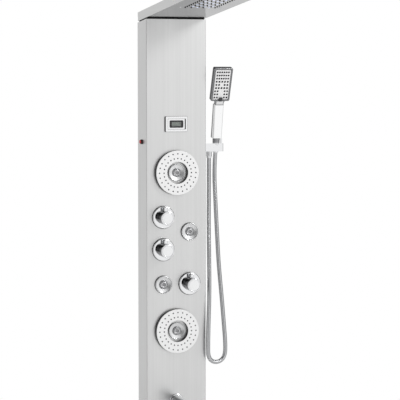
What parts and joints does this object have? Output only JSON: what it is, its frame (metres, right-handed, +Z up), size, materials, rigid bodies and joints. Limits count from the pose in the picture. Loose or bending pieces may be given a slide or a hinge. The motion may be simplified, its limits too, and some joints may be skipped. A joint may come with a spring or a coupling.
{
  "type": "shower panel column",
  "caption": "Wall-hung shower column with forward rain head, massage rings and jets, mixer knobs, bath spout and a hand shower on a hose.",
  "frame": {"origin": "centre of the upper wall bracket's screw line, on the wall plane", "axes": "+Z up along the column, +Y into the wall, +X to the right as the user faces the column"},
  "size_m": [0.2895, 0.5501, 1.4768],
  "materials": {
    "brushed_steel": "vertically brushed",
    "polished_steel": "polished",
    "zinc_steel": "plain",
    "chrome": "mirror",
    "black_rubber": "matt",
    "grey_silicone": "matt",
    "black_plastic": "matt",
    "white_plastic": "gloss",
    "grey_plastic": "satin",
    "red_plastic": "gloss",
    "bluish_lens": "frosted",
    "display_clear": "clear",
    "brass": "cast",
    "chrome_hose": "polished interlock",
    "grey_pipe": "satin"
  },
  "bodies": {
    "column": {"panel_shell": "brushed_steel", "wall_brackets": "zinc_steel", "upper_hanger": "zinc_steel", "lower_hanger": "zinc_steel", "head_shell": "brushed_steel", "head_spray_plate": "polished_steel", "head_water_chamber": "black_plastic", "head_nozzles": "grey_silicone", "head_light_lenses": "bluish_lens", "head_plate_screws": "chrome", "head_spacer": "black_rubber", "display_bezel": "chrome", "display_window": "display_clear", "display_module": "black_plastic", "switch_bezel": "black_plastic", "ring_bases": "black_plastic", "ring_plates": "white_plastic", "jet_bodies": "chrome", "jet_and_ring_nuts": "brass", "rosettes": "chrome", "valve_cartridges": "brass", "valve_body": "brass", "spout": "chrome", "spout_aerator": "grey_plastic", "holder_arm": "chrome", "hose_outlet_nut": "chrome", "shower_hose": "chrome_hose", "feed_pipes": "grey_pipe"},
    "temperature_knob_body": {"temperature_knob": "chrome"},
    "flow_knob_body": {"flow_knob": "chrome"},
    "diverter_knob_body": {"diverter_knob": "chrome"},
    "upper_ring_jet_ball": {"upper_ring_jet_nozzle": "chrome"},
    "lower_ring_jet_ball": {"lower_ring_jet_nozzle": "chrome"},
    "right_jet_ball": {"right_jet_nozzle": "chrome"},
    "left_jet_ball": {"left_jet_nozzle": "chrome"},
    "side_switch": {"switch_cap": "red_plastic"},
    "hand_shower": {"hose_cone_nut": "chrome", "handset_shell": "chrome", "handset_rim": "chrome", "handset_face": "white_plastic", "handset_nozzles": "grey_silicone"},
    "spray_selector": {"handset_selector": "grey_plastic"}
  },
  "joints": [
    {"name": "temperature_turn", "type": "hinge", "parent": "column", "child": "temperature_knob_body", "pos_m": [-0.044, -0.092, -0.479], "axis": [0, -1, 0], "range_deg": [-100, 100]},
    {"name": "flow_turn", "type": "hinge", "parent": "column", "child": "flow_knob_body", "pos_m": [-0.044, -0.092, -0.583], "axis": [0, -1, 0], "range_deg": [0, 90]},
    {"name": "diverter_turn", "type": "hinge", "parent": "column", "child": "diverter_knob_body", "pos_m": [0.044, -0.092, -0.695], "axis": [0, -1, 0], "continuous": true},
    {"name": "upper_ring_jet_tilt", "type": "hinge", "parent": "column", "child": "upper_ring_jet_ball", "pos_m": [0, -0.09, -0.337], "axis": [1, 0, 0], "range_deg": [-15, 15]},
    {"name": "lower_ring_jet_tilt", "type": "hinge", "parent": "column", "child": "lower_ring_jet_ball", "pos_m": [0, -0.09, -0.846], "axis": [1, 0, 0], "range_deg": [-15, 15]},
    {"name": "right_jet_tilt", "type": "hinge", "parent": "column", "child": "right_jet_ball", "pos_m": [0.044, -0.09, -0.527], "axis": [1, 0, 0], "range_deg": [-15, 15]},
    {"name": "left_jet_tilt", "type": "hinge", "parent": "column", "child": "left_jet_ball", "pos_m": [-0.044, -0.09, -0.695], "axis": [1, 0, 0], "range_deg": [-15, 15]},
    {"name": "switch_press", "type": "slide", "parent": "column", "child": "side_switch", "axis": [1, 0, 0], "range_m": [0, 0.0015], "stiffness_N_per_m": 600, "springref_m": -0.001},
    {"name": "hand_shower_lift", "type": "slide", "parent": "column", "child": "hand_shower", "axis": [0, -0.1908, 0.9816], "range_m": [0, 0.06]},
    {"name": "selector_slide", "type": "slide", "parent": "hand_shower", "child": "spray_selector", "axis": [0, -0.3355, 0.9421], "range_m": [0, 0.009]}
  ]
}
